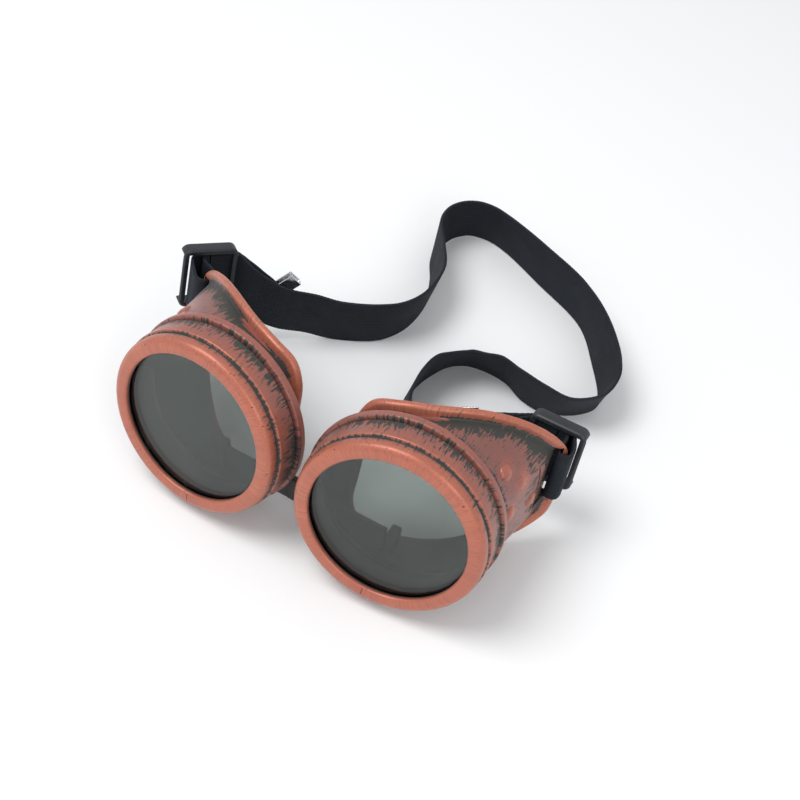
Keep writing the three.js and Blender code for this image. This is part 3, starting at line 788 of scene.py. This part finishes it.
def steel_material():
    """Thin bright steel, brushed one way."""
    made, tree, shader = material("bright_steel", Metallic=1.0)
    coordinates = node(tree, "ShaderNodeTexCoord").outputs["Object"]
    brushed = noise(tree, stretched(tree, coordinates, (900, 900, 5200)), 1.0, 4, 0.6)
    color = ramp(tree, brushed, [(0.3, (0.62, 0.63, 0.64)), (0.7, (0.82, 0.83, 0.84))])
    link(tree, color, shader.inputs["Base Color"])
    link(tree, maths(tree, "ADD", maths(tree, "MULTIPLY", brushed, 0.2), 0.16), shader.inputs["Roughness"])
    bump(tree, shader, brushed, 0.15, 0.00005)
    return made


def glass_material(name, low, high):
    """Lens glass, its tint very slightly uneven."""
    made, tree, shader = material(name, Transmission_Weight=1.0, IOR=1.5, Roughness=0.0)
    coordinates = node(tree, "ShaderNodeTexCoord").outputs["Object"]
    cloud = noise(tree, coordinates, 60.0, 2)
    link(tree, ramp(tree, cloud, [(0.3, low), (0.7, high)]), shader.inputs["Base Color"])
    return made


def floor_material():
    color = (0.9, 0.905, 0.91)
    made, _, _ = material("studio_floor", Base_Color=color, Roughness=0.9, Specular_IOR_Level=0.1)
    return made


MATERIALS = {
    "copper": (copper_material(), "copper_paint"),
    "webbing": (webbing_material(), "elastic_webbing"),
    "plastic": (
        moulded_material("black_plastic", (0.012, 0.014, 0.018), (0.024, 0.027, 0.033), 0.3, 0.00004),
        "black_plastic"),
    "rubber": (
        moulded_material("black_rubber", (0.024, 0.025, 0.025), (0.05, 0.051, 0.05), 0.5, 0.00008),
        "black_rubber"),
    "steel": (steel_material(), "bright_steel"),
    "tinted": (glass_material("tinted_glass", (0.30, 0.35, 0.325), (0.35, 0.40, 0.375)), "tinted_glass"),
    "clear": (glass_material("clear_glass", (0.93, 0.95, 0.945), (0.97, 0.98, 0.975)), "clear_glass"),
}


def finish_piece(obj, kind):
    made, slot = MATERIALS[kind]
    obj.data.materials.clear()
    obj.data.materials.append(made)


# ---- pieces taken from the CAD mesh and given rounded edges ----

def rounded_copy(node_name, name, kind, radius, cuts=()):
    """The CAD piece's own shape with flat faces cleaned up, extra cuts across x, and rounded edges."""
    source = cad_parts[node_name]
    work = bmesh.new()
    work.from_mesh(source.data)
    bmesh.ops.remove_doubles(work, verts=work.verts, dist=1e-6)
    bmesh.ops.dissolve_limit(work, angle_limit=math.radians(1), verts=work.verts, edges=work.edges)
    mesh = bpy.data.meshes.new(name)
    work.to_mesh(mesh)
    work.free()
    mesh.materials.clear()
    obj = bpy.data.objects.new(name, mesh)
    bpy.context.scene.collection.objects.link(obj)
    bevel = obj.modifiers.new("rounding", "BEVEL")
    bevel.width = radius * MM
    bevel.segments = 3
    bevel.limit_method = "ANGLE"
    bevel.angle_limit = math.radians(40)
    apply_modifiers(obj)
    work = bmesh.new()
    work.from_mesh(obj.data)
    for x in cuts:
        geometry = work.verts[:] + work.edges[:] + work.faces[:]
        bmesh.ops.bisect_plane(work, geom=geometry, plane_co=(x * MM, 0, 0), plane_no=(1, 0, 0))
    work.to_mesh(obj.data)
    work.free()
    shade(obj.data, 40)
    finish_piece(obj, kind)
    return obj


def bridge_half(name, side):
    """One half of the nose bridge, cut at the middle, with extra cuts across it."""
    obj = rounded_copy("nose_bridge", name, "rubber", 0.3, [side * x for x in range(3, 27, 2)])
    work = bmesh.new()
    work.from_mesh(obj.data)
    geometry = work.verts[:] + work.edges[:] + work.faces[:]
    bmesh.ops.bisect_plane(
        work, geom=geometry, plane_co=(0, 0, 0), plane_no=(side, 0, 0), clear_inner=True)
    bmesh.ops.holes_fill(work, edges=[e for e in work.edges if e.is_boundary])
    work.to_mesh(obj.data)
    work.free()
    shade(obj.data, 40)
    return obj


# ---- assembly ----

# Lengths along the webbing, in millimetres.
END_PIECE = 30.0  # from a slider to where the strap's run is cut into an end piece

for name, side in SIDES:
    cup_body = f"{name}_cup"
    cup = eyecup(f"{name}_eyecup_shell", side)
    paint_attributes(cup, side, False)
    finish_piece(cup, "copper")
    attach(cup, cup_body)
    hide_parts(f"{name}_eyecup")

    bezel = ring(f"{name}_screw_ring", side)
    paint_attributes(bezel, side, True)
    finish_piece(bezel, "copper")
    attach(bezel, f"{name}_ring")
    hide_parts(f"{name}_lens_ring")

    for node_name, kind in (("tinted_lens", "tinted"), ("clear_lens", "clear"), ("lens_gasket", "rubber")):
        cad_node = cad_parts[f"{name}_{node_name}"]
        finish_piece(cad_node, kind)

    for node_name, kind, radius, body in (
        ("slider", "plastic", 0.28, f"{name}_slider_body"),
        ("strap_clip", "steel", 0.12, cup_body),
        ("bridge_stop", "rubber", 0.5, cup_body),
    ):
        piece = rounded_copy(f"{name}_{node_name}", f"{name}_{node_name}_piece", kind, radius)
        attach(piece, body)
        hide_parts(f"{name}_{node_name}")

    half = bridge_half(f"{name}_bridge_half", side)
    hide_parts("nose_bridge")
    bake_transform(half)

    loop_rows, loop_places = webbing_rows(loop_stations(name))
    loop = webbing(f"{name}_strap_loop_webbing", loop_rows, loop_places)
    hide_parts(f"{name}_strap_loop")
    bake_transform(loop)

    tail_rows, tail_places = webbing_rows(tail_stations(name))
    tail = webbing(f"{name}_strap_tail_webbing", tail_rows, tail_places)
    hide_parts(f"{name}_strap_tail")
    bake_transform(tail)

run_rows, run_places = webbing_rows(run_stations())
total = run_places[-1]
inner_cuts = [row_at(run_places, place) for place in (END_PIECE, total / 2, total - END_PIECE)]
cuts = [0, *inner_cuts, len(run_rows) - 1]
labels = ["left_strap_end", "left_strap_half", "right_strap_half", "right_strap_end"]
for label, first, last in zip(labels, cuts, cuts[1:]):
    name = label.split("_")[0]
    rows, places = run_rows[first:last + 1], run_places[first:last + 1]
    piece = webbing(label, rows, places)
    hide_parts("strap_run")
    if label.endswith("end"):
        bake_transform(piece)
    else:
        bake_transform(piece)

# ---- studio: floor, light and camera ----

FLOOR_HEIGHT = -0.01172  # metres in the row frame, just under the part's lowest point
FLOOR_REACH = 3.0
floor_mesh = bpy.data.meshes.new("floor")
floor_corners = [
    (x * FLOOR_REACH, y * FLOOR_REACH, FLOOR_HEIGHT) for x, y in ((-1, -1), (1, -1), (1, 1), (-1, 1))
]
floor_mesh.from_pydata(floor_corners, [], [(0, 1, 2, 3)])
floor_mesh.materials.append(floor_material())
floor = bpy.data.objects.new("floor", floor_mesh)
bpy.context.scene.collection.objects.link(floor)

scene = bpy.context.scene
world = bpy.data.worlds.new("studio")
scene.world = world
world.use_nodes = True
background = world.node_tree.nodes["Background"]
background.inputs["Color"].default_value = (0.97, 0.985, 1.0, 1)
background.inputs["Strength"].default_value = 0.66


def area_light(name, place, target, size, power):
    light = bpy.data.lights.new(name, "AREA")
    light.shape = "DISK"
    light.size = size
    light.energy = power
    lamp = bpy.data.objects.new(name, light)
    lamp.location = place
    lamp.rotation_euler = (Vector(target) - Vector(place)).to_track_quat("-Z", "Y").to_euler()
    scene.collection.objects.link(lamp)


area_light("key", (-0.35, -0.25, 0.9), (0, 0.03, 0), 0.55, 5.6)
area_light("fill", (0.6, -0.55, 0.55), (0, 0.03, 0), 0.5, 2.0)

CAMERA_PLACE = Vector((0.1102, -0.2194, 0.2949))
CAMERA_LOOK = Vector((-0.2563, 0.6538, -0.7120)).normalized()
CAMERA_UP = Vector((-0.4267, 0.5844, 0.6902))
camera_right = CAMERA_LOOK.cross(CAMERA_UP).normalized()
camera_up = camera_right.cross(CAMERA_LOOK)
camera = bpy.data.cameras.new("camera")
camera.lens = 58.5
camera.sensor_width = 36
camera.clip_start = 0.01
camera_object = bpy.data.objects.new("camera", camera)
turn = Matrix((camera_right, camera_up, -CAMERA_LOOK)).transposed().to_4x4()
camera_object.matrix_world = Matrix.Translation(CAMERA_PLACE) @ turn
scene.collection.objects.link(camera_object)
scene.camera = camera_object
scene.view_settings.view_transform = "Standard"
